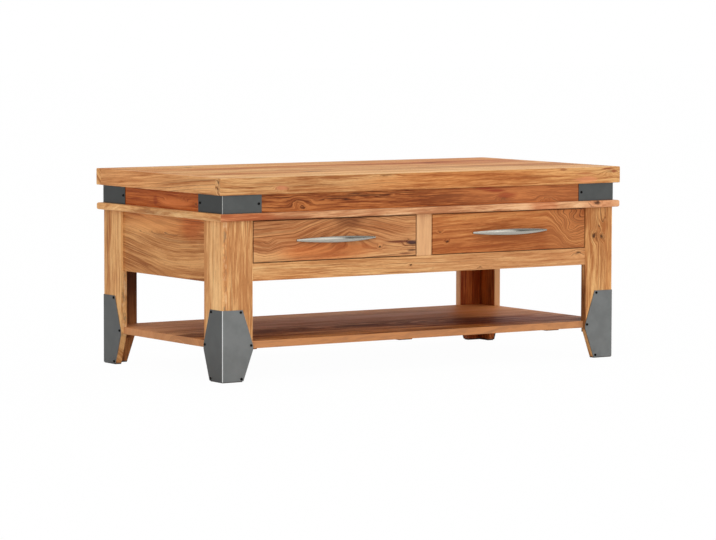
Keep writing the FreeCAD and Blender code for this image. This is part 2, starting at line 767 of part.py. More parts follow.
def drawer_bottom():
    lap = "drawer_groove_depth - joint_clearance"
    low = (f"-room_outer - ({lap})", f"-front_back_y - ({lap})", "bottom_under")
    size = (f"room_outer - room_inner + 2 * ({lap})", f"drawer_depth + {lap}", "drawer_bottom_thickness")
    return board("left_drawer_bottom", low, size).body


def handle_section(index, share):
    # The bow swells towards its middle in height, depth and reach, each as a parabola
    swell = f"(1 - {share} ^ 2)"
    reach = f"(handle_tip_depth + (handle_projection - handle_tip_depth) * {swell})"
    depth = f"(handle_tip_depth + (handle_depth - handle_tip_depth) * {swell})"
    ring = doc.addObject("Part::Ellipse", f"handle_section_{index}")
    ring.Placement = FreeCAD.Placement(Vector(), HANDLE_SECTION)
    bind_base(ring, (f"-drawer_middle + {share} * handle_length / 2", f"-front_y - {reach} + {depth} / 2",
                     "handle_level"))
    bind(ring, MinorRadius=f"{depth} / 2",
         MajorRadius=f"(handle_tip_height + (handle_height - handle_tip_height) * {swell}) / 2")
    return ring


def handle_round(name, side, radius, length):
    rod = doc.addObject("Part::Cylinder", name)
    rod.Placement = FreeCAD.Placement(Vector(), TO_FRONT)
    bind_base(rod, (f"-drawer_middle {side} handle_centres / 2", "-front_y", "handle_level"))
    bind(rod, Radius=radius, Height=length)
    return rod


def drawer_handle():
    bow = doc.addObject("Part::Loft", "handle_bow")
    bow.Sections = [handle_section(index, share) for index, share in enumerate(HANDLE_STATIONS)]
    bow.Solid = True
    posts = [handle_round("handle_left_post", "-", "handle_post_radius", "post_length"),
             handle_round("handle_right_post", "+", "handle_post_radius", "post_length")]
    whole = doc.addObject("Part::MultiFuse", "handle_whole")
    whole.Shapes = [bow] + posts
    threads = doc.addObject("Part::MultiFuse", "handle_threads")
    thread = "handle_screw_radius + screw_clearance"
    threads.Shapes = [handle_round("handle_left_thread", "-", thread, "thread_depth"),
                      handle_round("handle_right_thread", "+", thread, "thread_depth")]
    handle = doc.addObject("Part::Cut", "left_drawer_handle")
    handle.Base = whole
    handle.Tool = threads
    return handle


def handle_screws():
    length = "drawer_front_thickness + thread_depth - joint_clearance"
    screws = []
    for name, side in (("left_handle_screw", "-"), ("right_handle_screw", "+")):
        seat = (f"-drawer_middle {side} handle_centres / 2", "-front_back_y", "handle_level")
        screws.append(screw(name, seat, TO_BACK, "handle_screw_head_radius", "handle_screw_head_height",
                            "handle_screw_radius", length))
    return group("left_drawer_handle_screws", screws)


def left_drawer():
    outer = drawer_side("outer_drawer_side", "-box_outer", "-room_outer - drawer_groove_depth")
    inner = drawer_side("inner_drawer_side", "-room_inner", f"-room_inner - {OVERRUN}")
    sides = group("left_drawer_sides", [outer, inner])
    return [drawer_front(), sides, drawer_back(), drawer_bottom(), drawer_handle(), handle_screws()]


def drawers():
    return [half for node in left_drawer() for half in left_and_right(node)]


nodes = (top_boards() + top_battens() + frieze_boards() + ledge_boards() + legs() + brackets() + case()
         + [drawer_runners(), drawer_kickers(), drawer_stops()] + shelf() + drawers())
doc.recompute()

failed = [thing.Name for thing in doc.Objects if {"Invalid", "Error"} & set(thing.State)]
if failed:
    raise RuntimeError(f"not built: {failed}")
for node in nodes:
    if node.Shape.isNull() or not node.Shape.isValid():
        raise RuntimeError(f"bad shape: {node.Label}")

os.makedirs("parts", exist_ok=True)
for node in nodes:
    node.Shape.exportStep(f"parts/{node.Label}.step")
print(len(nodes), "nodes,", sum(len(node.Shape.Solids) for node in nodes), "solids")
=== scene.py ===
import math

import bmesh
import bpy
from mathutils import Euler, Matrix, Vector


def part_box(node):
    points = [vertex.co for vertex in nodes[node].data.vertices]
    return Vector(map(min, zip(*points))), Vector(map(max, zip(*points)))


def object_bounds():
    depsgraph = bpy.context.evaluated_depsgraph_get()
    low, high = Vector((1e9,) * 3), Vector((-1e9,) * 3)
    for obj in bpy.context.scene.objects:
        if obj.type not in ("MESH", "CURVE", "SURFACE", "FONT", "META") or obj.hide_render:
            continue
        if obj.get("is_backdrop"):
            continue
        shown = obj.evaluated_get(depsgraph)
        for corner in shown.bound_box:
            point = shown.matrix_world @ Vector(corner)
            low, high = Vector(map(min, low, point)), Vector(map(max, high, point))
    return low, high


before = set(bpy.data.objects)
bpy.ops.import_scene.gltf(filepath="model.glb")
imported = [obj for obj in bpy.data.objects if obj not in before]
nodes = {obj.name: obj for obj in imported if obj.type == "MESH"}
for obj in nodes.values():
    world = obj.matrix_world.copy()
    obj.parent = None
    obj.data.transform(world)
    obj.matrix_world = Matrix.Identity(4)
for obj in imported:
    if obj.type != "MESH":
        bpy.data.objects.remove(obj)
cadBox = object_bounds()
scene = bpy.context.scene
print("frame loaded,", len(nodes), "nodes")

photoView = {
    "place": (-4.44242, -6.65347, 0.83243),
    "turn": 33.69,      # degrees clockwise from straight ahead
    "dip": 4.45,
    "roll": 0.15,
    "lens": 172.9,
    "sensor": 36,
    "farthest": 60,
}


def aimCamera(view):
    camera = bpy.data.cameras.new("photoCamera")
    camera.sensor_fit = "HORIZONTAL"
    camera.sensor_width = view["sensor"]
    camera.lens = view["lens"]
    camera.clip_end = view["farthest"]
    eye = bpy.data.objects.new("photoCamera", camera)
    scene.collection.objects.link(eye)
    turn = Matrix.Rotation(math.radians(-view["turn"]), 4, "Z")
    tip = Matrix.Rotation(math.radians(90 - view["dip"]), 4, "X")
    roll = Matrix.Rotation(math.radians(view["roll"]), 4, "Z")
    eye.matrix_world = Matrix.Translation(view["place"]) @ turn @ tip @ roll
    scene.camera = eye


aimCamera(photoView)
scene.view_settings.view_transform = "Standard"
print("camera set")


def rgb(colour):
    # 0 to 255 as a picker shows it, to the linear colour that a socket takes
    shares = [value / 255 for value in colour]
    return tuple(s / 12.92 if s <= 0.04045 else ((s + 0.055) / 1.055) ** 2.4 for s in shares) + (1.0,)


def feed(tree, node, feeds):
    # into the node's sockets, by name or number, as links or as plain values
    for key, value in feeds.items():
        if isinstance(value, bpy.types.NodeSocket):
            tree.links.new(value, node.inputs[key])
        else:
            node.inputs[key].default_value = value


def addNode(tree, kind, feeds=None, **settings):
    node = tree.nodes.new(kind)
    for key, value in settings.items():
        setattr(node, key, value)
    feed(tree, node, feeds or {})
    return node


def sums(tree, kind, *terms):
    return addNode(tree, "ShaderNodeMath", dict(enumerate(terms)), operation=kind).outputs[0]


def vectorSums(tree, kind, *terms):
    node = addNode(tree, "ShaderNodeVectorMath", dict(enumerate(terms)), operation=kind)
    return node.outputs["Value" if kind in ("LENGTH", "DOT_PRODUCT") else "Vector"]


def fade(tree, value, start, end, low=0.0, high=1.0):
    feeds = {"Value": value, "From Min": start, "From Max": end, "To Min": low, "To Max": high}
    return addNode(tree, "ShaderNodeMapRange", feeds, interpolation_type="SMOOTHSTEP").outputs[0]


def blendColour(tree, share, first, second, kind="MIX"):
    feeds = {0: share, 6: first, 7: second}
    return addNode(tree, "ShaderNodeMix", feeds, data_type="RGBA", blend_type=kind).outputs[2]


def noise(tree, place, scale=1.0, detail=2.0, roughness=0.5):
    feeds = {"Vector": place, "Scale": scale, "Detail": detail, "Roughness": roughness}
    return addNode(tree, "ShaderNodeTexNoise", feeds).outputs[0]


def seededCloud(tree, place, seed, scale=1.0, detail=2.0):
    feeds = {"Vector": place, "W": seed, "Scale": scale, "Detail": detail}
    return addNode(tree, "ShaderNodeTexNoise", feeds, noise_dimensions="4D").outputs


def bendPlace(tree, place, cloudColour, amount):
    swing = vectorSums(tree, "SUBTRACT", cloudColour, (0.5, 0.5, 0.5))
    sway = addNode(tree, "ShaderNodeVectorMath", {0: swing, "Scale": amount}, operation="SCALE")
    return vectorSums(tree, "ADD", place, sway.outputs["Vector"])


def splitAxes(tree, place):
    return addNode(tree, "ShaderNodeSeparateXYZ", {0: place}).outputs


# Studio: a low soft box in front, light from overhead, a low light at the far end, and a white floor
# that throws light back up. Edges are cosines or heights where a light fades in and is full
studio = {
    "ambient": 0.42,
    "boxLight": 0.98,
    "boxToward": (-0.55, -0.83, 0.10),
    "boxEdges": (0.25, 0.90),
    "overheadLight": 0.78,
    "overheadEdges": (0.45, 1.0),
    "lowShare": 0.5,                # what is left of the overhead light at the horizon
    "lowEdges": (0.0, 0.22),
    "windowLight": 0.8,             # a narrow window in front, for the metal to reflect
    "windowAngles": (8, 18, 36, 40),
    "windowEdges": (0.45, 0.70),
    "gapAngles": (39, 41, 46, 49),  # the dark post beside it
    "gapLight": 0.4,
    "sideLight": 2.4,               # low light from the far end, under the table
    "sideToward": (0.86, 0.40, 0.32),
    "sideEdges": (0.80, 0.96),
    "backdropShare": 0.5,           # what is left of the light straight behind
    "backdropToward": (0.55, 0.83, 0.08),
    "backdropEdges": (0.70, 0.97),
    "keyPlace": (-4.2, -5.2, 1.5),
    "keyAim": (0, 0, 0.2),
    "keyWidth": 2.4,
    "keyPower": 50,
    "floorWidth": 60,
    "floorLevel": -0.0004,
    "floorBounce": 0.80,
    "floorShade": 0.02,             # share of the shading that shows in the floor
}


def lightSky(setup):
    world = bpy.data.worlds.new("studioSky")
    world.use_nodes = True
    tree = world.node_tree
    tree.nodes.clear()
    way = addNode(tree, "ShaderNodeTexCoord").outputs["Generated"]
    x, y, z = splitAxes(tree, way)
    angle = sums(tree, "ARCTAN2", x, sums(tree, "MULTIPLY", y, -1.0))

    def toward(name, low, high):
        facing = vectorSums(tree, "DOT_PRODUCT", way, setup[name + "Toward"])
        return fade(tree, facing, *setup[name + "Edges"], low, high)

    def between(angles):
        first, second, third, fourth = (math.radians(turn) for turn in angles)
        start = fade(tree, angle, first, second)
        return sums(tree, "MULTIPLY", start, fade(tree, angle, third, fourth, 1.0, 0.0))

    ambient = setup["ambient"]
    overhead = fade(tree, z, *setup["overheadEdges"], ambient, ambient + setup["overheadLight"])
    low = fade(tree, z, *setup["lowEdges"], setup["lowShare"], 1.0)
    room = sums(tree, "MULTIPLY_ADD", overhead, low, toward("box", 0.0, setup["boxLight"]))
    window = sums(tree, "MULTIPLY", between(setup["windowAngles"]),
                  fade(tree, z, *setup["windowEdges"], setup["windowLight"], 0.0))
    side = toward("side", 0.0, setup["sideLight"])
    backdrop = toward("backdrop", 1.0, setup["backdropShare"])
    gap = fade(tree, between(setup["gapAngles"]), 0.0, 1.0, 1.0, setup["gapLight"])
    lights = sums(tree, "ADD", sums(tree, "ADD", room, window), side)
    strength = sums(tree, "MULTIPLY", lights, sums(tree, "MULTIPLY", backdrop, gap))
    sky = addNode(tree, "ShaderNodeBackground", {"Color": (1, 1, 1, 1), "Strength": strength})
    plain = addNode(tree, "ShaderNodeBackground", {"Color": (1, 1, 1, 1), "Strength": 1.0})
    seen = addNode(tree, "ShaderNodeLightPath").outputs["Is Camera Ray"]
    both = addNode(tree, "ShaderNodeMixShader", {0: seen, 1: sky.outputs[0], 2: plain.outputs[0]})
    addNode(tree, "ShaderNodeOutputWorld", {"Surface": both.outputs[0]})
    scene.world = world


def hangKey(setup):
    key = bpy.data.lights.new("keyLight", "AREA")
    key.shape = "SQUARE"
    key.size = setup["keyWidth"]
    key.energy = setup["keyPower"]
    lamp = bpy.data.objects.new("keyLight", key)
    scene.collection.objects.link(lamp)
    aim = Vector(setup["keyAim"]) - Vector(setup["keyPlace"])
    lamp.location = setup["keyPlace"]
    lamp.rotation_euler = aim.to_track_quat("-Z", "Y").to_euler()


def layFloor(setup):
    sheet = bmesh.new()
    bmesh.ops.create_grid(sheet, x_segments=1, y_segments=1, size=setup["floorWidth"] / 2)
    bmesh.ops.translate(sheet, vec=(0, 0, setup["floorLevel"]), verts=sheet.verts)
    mesh = bpy.data.meshes.new("floor")
    sheet.to_mesh(mesh)
    sheet.free()
    floor = bpy.data.objects.new("floor", mesh)
    scene.collection.objects.link(floor)
    floor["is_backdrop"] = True

    # white to the camera, and a matt sheet to the light
    paint = bpy.data.materials.new("floorWhite")
    paint.use_nodes = True
    tree = paint.node_tree
    tree.nodes.clear()
    bounce = setup["floorBounce"]
    matt = addNode(tree, "ShaderNodeBsdfDiffuse", {"Color": (bounce, bounce, bounce, 1)}).outputs[0]
    glow = addNode(tree, "ShaderNodeEmission", {"Color": (1, 1, 1, 1), "Strength": 1.0}).outputs[0]
    shaded = addNode(tree, "ShaderNodeMixShader", {0: setup["floorShade"], 1: glow, 2: matt}).outputs[0]
    seen = addNode(tree, "ShaderNodeLightPath").outputs["Is Camera Ray"]
    both = addNode(tree, "ShaderNodeMixShader", {0: seen, 1: matt, 2: shaded}).outputs[0]
    addNode(tree, "ShaderNodeOutputMaterial", {"Surface": both})
    mesh.materials.append(paint)


lightSky(studio)
hangKey(studio)
layFloor(studio)
print("studio lit")

# Tones of the wood, from its light bands to its dark streaks
woodTones = {
    "pale": ((236, 188, 129), (216, 161, 104), (189, 128, 76), (116, 70, 38)),
    "honey": ((232, 186, 128), (211, 157, 102), (180, 121, 72), (102, 61, 33)),
    "rose": ((230, 182, 136), (208, 153, 108), (180, 120, 80), (112, 66, 40)),
    "golden": ((222, 171, 112), (198, 141, 86), (166, 104, 57), (92, 54, 29)),
    "panel": ((208, 151, 93), (183, 123, 70), (148, 88, 45), (86, 48, 25)),
    "tan": ((214, 162, 108), (191, 133, 85), (158, 98, 57), (84, 46, 26)),
    "topEnd": ((226, 170, 112), (203, 144, 90), (172, 108, 60), (96, 54, 28)),
    "amber": ((216, 158, 98), (192, 128, 74), (160, 94, 48), (88, 48, 24)),
    "orange": ((208, 142, 82), (184, 112, 60), (152, 82, 39), (84, 42, 20)),
    "red": ((196, 110, 47), (171, 87, 32), (141, 64, 21), (80, 34, 14)),
    "russet": ((188, 116, 62), (158, 88, 43), (124, 62, 28), (62, 29, 14)),
    # brown: partly the wood's own dark tone, partly painted shade for the shelf and the legs' inner
    # boards
    "brown": ((204, 140, 84), (170, 109, 62), (124, 74, 40), (60, 34, 19)),
}

# Figure of the wood. Streaks are features in a metre along and across the grain, offset and detail,
# and clouds are features in a metre each way, offset and detail
acacia = {
    "wander": ((1.7, 7.0, 7.0), 0.0),
    "waves": ((14.0, 30.0, 30.0), 0.0),
    "broad": (2.2, 30.0, 0.0),
    "medium": (9.0, 140.0, 11.0, 4.0),
    "fibre": (22.0, 400.0, 3.1, 3.0),
    "cloud": ((3.0, 18.0, 18.0), 7.0, 3.0),
    "shares": {"broad": 0.75, "medium": 1.0, "fibre": 1.05, "cloud": 0.6},
    "shadeToBase": (0.24, 0.50),
    "baseToPale": (0.50, 0.76),
    "blush": ((1.8, 13.0, 13.0), 23.0),
    "blushEdges": (0.46, 0.66),
    "blushTint": (246, 208, 170),
    "wobble": (3.5, 16.0, 29.0),
    "wobbleBands": 2.4,
    "lineEdges": (0.02, 0.12),
    "lineStretches": (4.5, 40.0, 41.0),     # where the growth lines show
    "lineStretchEdges": (0.50, 0.66),
    "darkStreaks": (3.0, 75.0, 53.0),
    "darkStreakEdges": (0.60, 0.78),
    "pores": (65.0, 1500.0, 1500.0),
    "poreEdges": (0.60, 0.70),
    "poreShare": 0.32,
    "poreRough": -0.2,
    "knotHeart": (46, 24, 14),
    "shineEdges": (0.2, 0.8),
    "roughness": (0.58, 0.42),
    "bump": (0.25, 0.0006),
}
figureNumbers = ("Bands", "Wander", "Waves", "Contrast", "Blush", "Lines", "Streaks", "Stretch")
figureTones = ("Pale", "Base", "Shade", "Dark")


def makeFigure(look):
    tree = bpy.data.node_groups.new("acaciaFigure", "ShaderNodeTree")
    inputs = {"Place": "Vector"}
    inputs.update((name, "Float") for name in ("Lift", "Mark", "Spot", "Seed", *figureNumbers))
    inputs.update((name, "Color") for name in figureTones)
    outputs = {"Colour": "Color", "Roughness": "Float", "Height": "Float"}
    for way, sockets in (("INPUT", inputs), ("OUTPUT", outputs)):
        for name, kind in sockets.items():
            tree.interface.new_socket(name, in_out=way, socket_type="NodeSocket" + kind)
    given = addNode(tree, "NodeGroupInput").outputs

    def cloud(stretch, offset, detail=2.0):
        place = vectorSums(tree, "MULTIPLY", given["Place"], stretch)
        return seededCloud(tree, place, sums(tree, "ADD", given["Seed"], offset), detail=detail)

    # the trunk wanders slowly and its fibres wave, so the bands bend
    bent = given["Place"]
    for name in ("wander", "waves"):
        bent = bendPlace(tree, bent, cloud(*look[name])["Color"], given[name.capitalize()])
    radius = vectorSums(tree, "LENGTH", vectorSums(tree, "MULTIPLY", bent, (0, 1, 1)))
    ring = sums(tree, "ADD", radius, given["Lift"])
    length = sums(tree, "MULTIPLY", splitAxes(tree, bent)["X"], given["Stretch"])
    flow = addNode(tree, "ShaderNodeCombineXYZ", {"X": length, "Y": ring, "Z": given["Seed"]}).outputs[0]

    # streaks that follow the bands and fade along them
    def streaks(along, across, offset, detail=2.0):
        place = vectorSums(tree, "MULTIPLY_ADD", flow, (along, across, 1.0), (0.0, 0.0, offset))
        return noise(tree, place, detail=detail, roughness=0.7)

    layers = {name: streaks(*look[name]) for name in ("broad", "medium", "fibre")}
    layers["cloud"] = cloud(*look["cloud"])["Fac"]
    tone = 0.5
    for name, share in look["shares"].items():
        swing = sums(tree, "MULTIPLY", sums(tree, "SUBTRACT", layers[name], 0.5), given["Contrast"])
        tone = sums(tree, "MULTIPLY_ADD", swing, share, tone)
    colour = blendColour(tree, fade(tree, tone, *look["shadeToBase"]), given["Shade"], given["Base"])
    colour = blendColour(tree, fade(tree, tone, *look["baseToPale"]), colour, given["Pale"])
    warm = fade(tree, cloud(*look["blush"])["Fac"], *look["blushEdges"])
    warm = sums(tree, "MULTIPLY", warm, given["Blush"])
    colour = blendColour(tree, warm, colour, rgb(look["blushTint"]), "MULTIPLY")

    # thin dark growth lines that come and go, broader dark streaks, pores and knots' hearts
    wobble = sums(tree, "MULTIPLY", streaks(*look["wobble"]), look["wobbleBands"])
    turns = sums(tree, "FRACT", sums(tree, "MULTIPLY_ADD", ring, given["Bands"], wobble))
    fromLine = sums(tree, "ABSOLUTE", sums(tree, "SUBTRACT", turns, 0.5))
    line = fade(tree, fromLine, *look["lineEdges"], 1.0, 0.0)
    shown = fade(tree, streaks(*look["lineStretches"]), *look["lineStretchEdges"])
    shown = sums(tree, "MAXIMUM", sums(tree, "MULTIPLY", shown, given["Lines"]), given["Mark"])
    colour = blendColour(tree, sums(tree, "MULTIPLY", line, shown), colour, given["Dark"])
    streak = fade(tree, streaks(*look["darkStreaks"]), *look["darkStreakEdges"])
    colour = blendColour(tree, sums(tree, "MULTIPLY", streak, given["Streaks"]), colour, given["Dark"])
    pores = noise(tree, vectorSums(tree, "MULTIPLY", bent, look["pores"]), detail=1.0)
    pore = fade(tree, pores, *look["poreEdges"])
    colour = blendColour(tree, sums(tree, "MULTIPLY", pore, look["poreShare"]), colour, given["Dark"])
    colour = blendColour(tree, given["Spot"], colour, rgb(look["knotHeart"]))

    shine = sums(tree, "ADD", tone, sums(tree, "MULTIPLY", pore, look["poreRough"]))
    roughness = fade(tree, shine, *look["shineEdges"], *look["roughness"])
    height = sums(tree, "SUBTRACT", sums(tree, "MULTIPLY", layers["fibre"], 0.5),
                  sums(tree, "MULTIPLY", pore, 0.5))
    addNode(tree, "NodeGroupOutput", {"Colour": colour, "Roughness": roughness, "Height": height})
    return tree


acaciaFigure = makeFigure(acacia)
print("figure made")

# What a board has unless its own entry says otherwise. Lengths in metres, angles in degrees
plainBoard = {
    "grain": "x",
    "tones": "golden",
    "seed": 0.0,
    "pith": (0.07, 0.04),   # heart of the tree from the board's middle, across and through it
    "lean": (2.0, 0.6),     # how the heart runs out of line with the board
    "bands": 120.0,         # growth bands in a metre
    "wander": 0.024,
    "waves": 0.004,
    "contrast": 1.45,
    "blush": 0.35,
    "lines": 0.5,
    "streaks": 0.35,
    "stretch": 0.65,        # below 1 the streaks are longer
    "gloss": 0.14,
    "knots": (),            # each: place, size, lift of the bands, darkness of its heart, its lines
    "crotches": (),         # each: place, size and lift of bands that meet in a peak
    "swells": (),           # each: place, size and lift of bands that bow gently
    "patches": (),          # each: place, size, tint, share, way of blending
    "revealShade": None,            # width and share of the painted shade line round a board that sits in an opening
    "joints": None,         # width of the fine dark lines along a plank's two long sides
    "seam": None,           # x, y, width and upper end of a mottled line up a board edge
    "planks": None,         # axis, start and width where one node holds several planks
}

# How the marks on a board are drawn. Edges are in units of a mark's size, or of a line's width
boardMarks = {
    "seedStep": {"knots": 1.7, "crotches": 0.9, "swells": 3.1, "patches": 2.3, "planks": 5.37},
    "ragged": {"knots": 0.9, "crotches": 0.25, "swells": 0.2, "patches": 0.8},
    "raggedScale": 1.3,
    "knotHeart": (0.10, 0.42),
    "knotLines": (0.45, 1.1),
    "crotchReach": (0.35, 1.0),
    "crotchLines": (0.5, 1.0),
    "crotchShare": 0.6,
    "patchEdges": (0.35, 1.1),
    "plankShift": 0.9,              # along the grain from plank to plank
    "seamEdge": 0.3,
    "seamDepth": (0.002, 0.004),
    "seamEnd": 0.01,
    "seamBlots": (70, 0, 30),
    "seamPale": ((0.50, 0.64), (0.0, 0.45), (232, 208, 168)),   # edges, shares and tint
    "seamGrey": ((0.52, 0.38), (0.0, 0.6), (120, 106, 84)),
    "jointEdge": 0.3,
    "jointShare": 0.7,
    "jointTint": (70, 42, 24),
    # painted shade: a dark line round a drawer front, where its reveal falls in shade
    "revealShadeEdge": 0.2,
    "revealShadeDepth": (0.0006, 0.0016),   # from the front face
    "revealShadeTint": (44, 24, 14),
}


def boardPlace(low, high, look):
    # turn that lays the grain along X and the board's thickness along Z, and the shift to its heart
    size = high - low
    grain = "xyz".index(look["grain"])
    others = sorted((axis for axis in range(3) if axis != grain), key=lambda axis: size[axis])
    along = Vector([float(axis == grain) for axis in range(3)])
    through = Vector([float(axis == others[0]) for axis in range(3)])
    rows = Matrix((along, through.cross(along), through))
    lean = Euler((0, math.radians(look["lean"][0]), math.radians(look["lean"][1]))).to_matrix()
    turn = lean @ rows
    shift = Vector((0, *look["pith"])) - turn @ ((low + high) / 2)
    return turn.to_euler(), shift


def marksOf(tree, here, look, kind):
    # each mark with the way from it in units of its size, bent so that its rim is ragged
    for number, (place, size, *rest) in enumerate(look[kind]):
        seed = look["seed"] + boardMarks["seedStep"][kind] * number
        near = addNode(tree, "ShaderNodeMapping", {"Vector": here, "Location": place, "Scale": size},
                       vector_type="TEXTURE").outputs[0]
        cloud = seededCloud(tree, near, seed, boardMarks["raggedScale"])["Color"]
        yield bendPlace(tree, near, cloud, boardMarks["ragged"][kind]), rest


def knotEffects(tree, here, look):
    lift = 0.0
    spot = 0.0
    mark = 0.0
    for way, (rise, heart, lines) in marksOf(tree, here, look, "knots"):
        away = vectorSums(tree, "LENGTH", way)
        lift = sums(tree, "ADD", fade(tree, away, 0.0, 1.0, rise, 0.0), lift)
        spot = sums(tree, "MAXIMUM", fade(tree, away, *boardMarks["knotHeart"], heart, 0.0), spot)
        mark = sums(tree, "MAXIMUM", fade(tree, away, *boardMarks["knotLines"], lines, 0.0), mark)
    for way, (rise,) in marksOf(tree, here, look, "crotches"):
        across, _, up = splitAxes(tree, vectorSums(tree, "ABSOLUTE", way))
        slope = addNode(tree, "ShaderNodeMapRange",
                        {"Value": across, "To Min": rise, "To Max": 0.0}).outputs[0]
        reach = fade(tree, up, *boardMarks["crotchReach"], 1.0, 0.0)
        lift = sums(tree, "MULTIPLY_ADD", slope, reach, lift)
        near = sums(tree, "MULTIPLY", fade(tree, across, *boardMarks["crotchLines"], 1.0, 0.0), reach)
        mark = sums(tree, "MAXIMUM", sums(tree, "MULTIPLY", near, boardMarks["crotchShare"]), mark)
    for way, (rise,) in marksOf(tree, here, look, "swells"):
        lift = sums(tree, "ADD", fade(tree, vectorSums(tree, "LENGTH", way), 0.0, 1.0, rise, 0.0), lift)
    return {"Lift": lift, "Spot": spot, "Mark": mark}


def splitPlanks(tree, here, place, look):
    # each plank of a node gets its own seed and its own stretch of the tree
    axis, start, width = look["planks"]
    across = splitAxes(tree, here)["xyz".index(axis)]
    count = sums(tree, "FLOOR", sums(tree, "DIVIDE", sums(tree, "SUBTRACT", across, start), width))
    seed = sums(tree, "MULTIPLY_ADD", count, boardMarks["seedStep"]["planks"], look["seed"])
    shift = sums(tree, "MULTIPLY", count, boardMarks["plankShift"])
    jump = addNode(tree, "ShaderNodeCombineXYZ", {"X": shift}).outputs[0]
    return vectorSums(tree, "ADD", place, jump), seed


def drawPatches(tree, here, colour, look):
    for way, (tint, share, kind) in marksOf(tree, here, look, "patches"):
        shown = fade(tree, vectorSums(tree, "LENGTH", way), *boardMarks["patchEdges"], share, 0.0)
        colour = blendColour(tree, shown, colour, rgb(tint), kind)
    return colour


def drawSeam(tree, here, colour, seam):
    seamX, seamY, width, end = seam
    x, y, z = splitAxes(tree, here)
    aside = sums(tree, "ABSOLUTE", sums(tree, "SUBTRACT", x, seamX))
    behind = sums(tree, "ABSOLUTE", sums(tree, "SUBTRACT", y, seamY))
    shown = sums(tree, "MULTIPLY", fade(tree, aside, width * boardMarks["seamEdge"], width, 1.0, 0.0),
                 fade(tree, behind, *boardMarks["seamDepth"], 1.0, 0.0))
    shown = sums(tree, "MULTIPLY", shown, fade(tree, z, end - boardMarks["seamEnd"], end, 1.0, 0.0))
    blotPlace = vectorSums(tree, "MULTIPLY", here, boardMarks["seamBlots"])
    blots = noise(tree, blotPlace, detail=5.0, roughness=0.7)
    for edges, shares, tint in (boardMarks["seamPale"], boardMarks["seamGrey"]):
        blot = sums(tree, "MULTIPLY", shown, fade(tree, blots, *edges, *shares))
        colour = blendColour(tree, blot, colour, rgb(tint))
    return colour


def drawJoints(tree, here, colour, width, low, high):
    y = splitAxes(tree, here)["Y"]
    inside = sums(tree, "MINIMUM", sums(tree, "SUBTRACT", y, low.y), sums(tree, "SUBTRACT", high.y, y))
    shown = fade(tree, inside, width * boardMarks["jointEdge"], width, boardMarks["jointShare"], 0.0)
    return blendColour(tree, shown, colour, rgb(boardMarks["jointTint"]))


def drawRevealShade(tree, here, colour, revealShade, low, high):
    # painted shade: darkens the border of the front face, standing in for the shade in the gap round it
    width, share = revealShade
    x, y, z = splitAxes(tree, here)
    inside = 1.0
    for axis, start, end in ((x, low.x, high.x), (z, low.z, high.z)):
        inside = sums(tree, "MINIMUM", inside, sums(tree, "SUBTRACT", axis, start))
        inside = sums(tree, "MINIMUM", inside, sums(tree, "SUBTRACT", end, axis))
    atFront = fade(tree, y, *(low.y + depth for depth in boardMarks["revealShadeDepth"]), 1.0, 0.0)
    shown = fade(tree, inside, width * boardMarks["revealShadeEdge"], width, share, 0.0)
    return blendColour(tree, sums(tree, "MULTIPLY", shown, atFront), colour, rgb(boardMarks["revealShadeTint"]))


def startPaint(name):
    paint = bpy.data.materials.new(name)
    paint.use_nodes = True
    return paint, paint.node_tree, addNode(paint.node_tree, "ShaderNodeTexCoord").outputs


def finishPaint(tree, colour, roughness, height, bump, **plain):
    strength, depth = bump
    relief = addNode(tree, "ShaderNodeBump", {"Height": height, "Strength": strength, "Distance": depth})
    feeds = {"Base Color": colour, "Roughness": roughness, "Normal": relief.outputs[0], **plain}
    feed(tree, tree.nodes["Principled BSDF"], feeds)


def woodMaterial(name, look):
    low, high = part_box(name)
    paint, tree, coordinates = startPaint(name + "Wood")
    here = coordinates["Object"]
    rotation, shift = boardPlace(low, high, look)
    feeds = {"Vector": here, "Location": shift, "Rotation": rotation}
    place = addNode(tree, "ShaderNodeMapping", feeds).outputs[0]
    seed = look["seed"]
    if look["planks"]:
        place, seed = splitPlanks(tree, here, place, look)
    feeds = {"Place": place, "Seed": seed, **knotEffects(tree, here, look)}
    feeds.update((key, look[key.lower()]) for key in figureNumbers)
    feeds.update((key, rgb(tone)) for key, tone in zip(figureTones, woodTones[look["tones"]]))
    figure = addNode(tree, "ShaderNodeGroup", feeds, node_tree=acaciaFigure).outputs
    colour = drawPatches(tree, here, figure["Colour"], look)
    if look["seam"]:
        colour = drawSeam(tree, here, colour, look["seam"])
    if look["joints"]:
        colour = drawJoints(tree, here, colour, look["joints"], low, high)
    if look["revealShade"]:
        colour = drawRevealShade(tree, here, colour, look["revealShade"], low, high)
    finishPaint(tree, colour, figure["Roughness"], figure["Height"], acacia["bump"],
                **{"Specular IOR Level": look["gloss"]})
    return paint


def dress(name, paint):
    mesh = nodes[name].data
    mesh.materials.clear()
    mesh.materials.append(paint)


def dressBoards(boards):
    for name, own in boards.items():
        dress(name, woodMaterial(name, {**plainBoard, **own}))


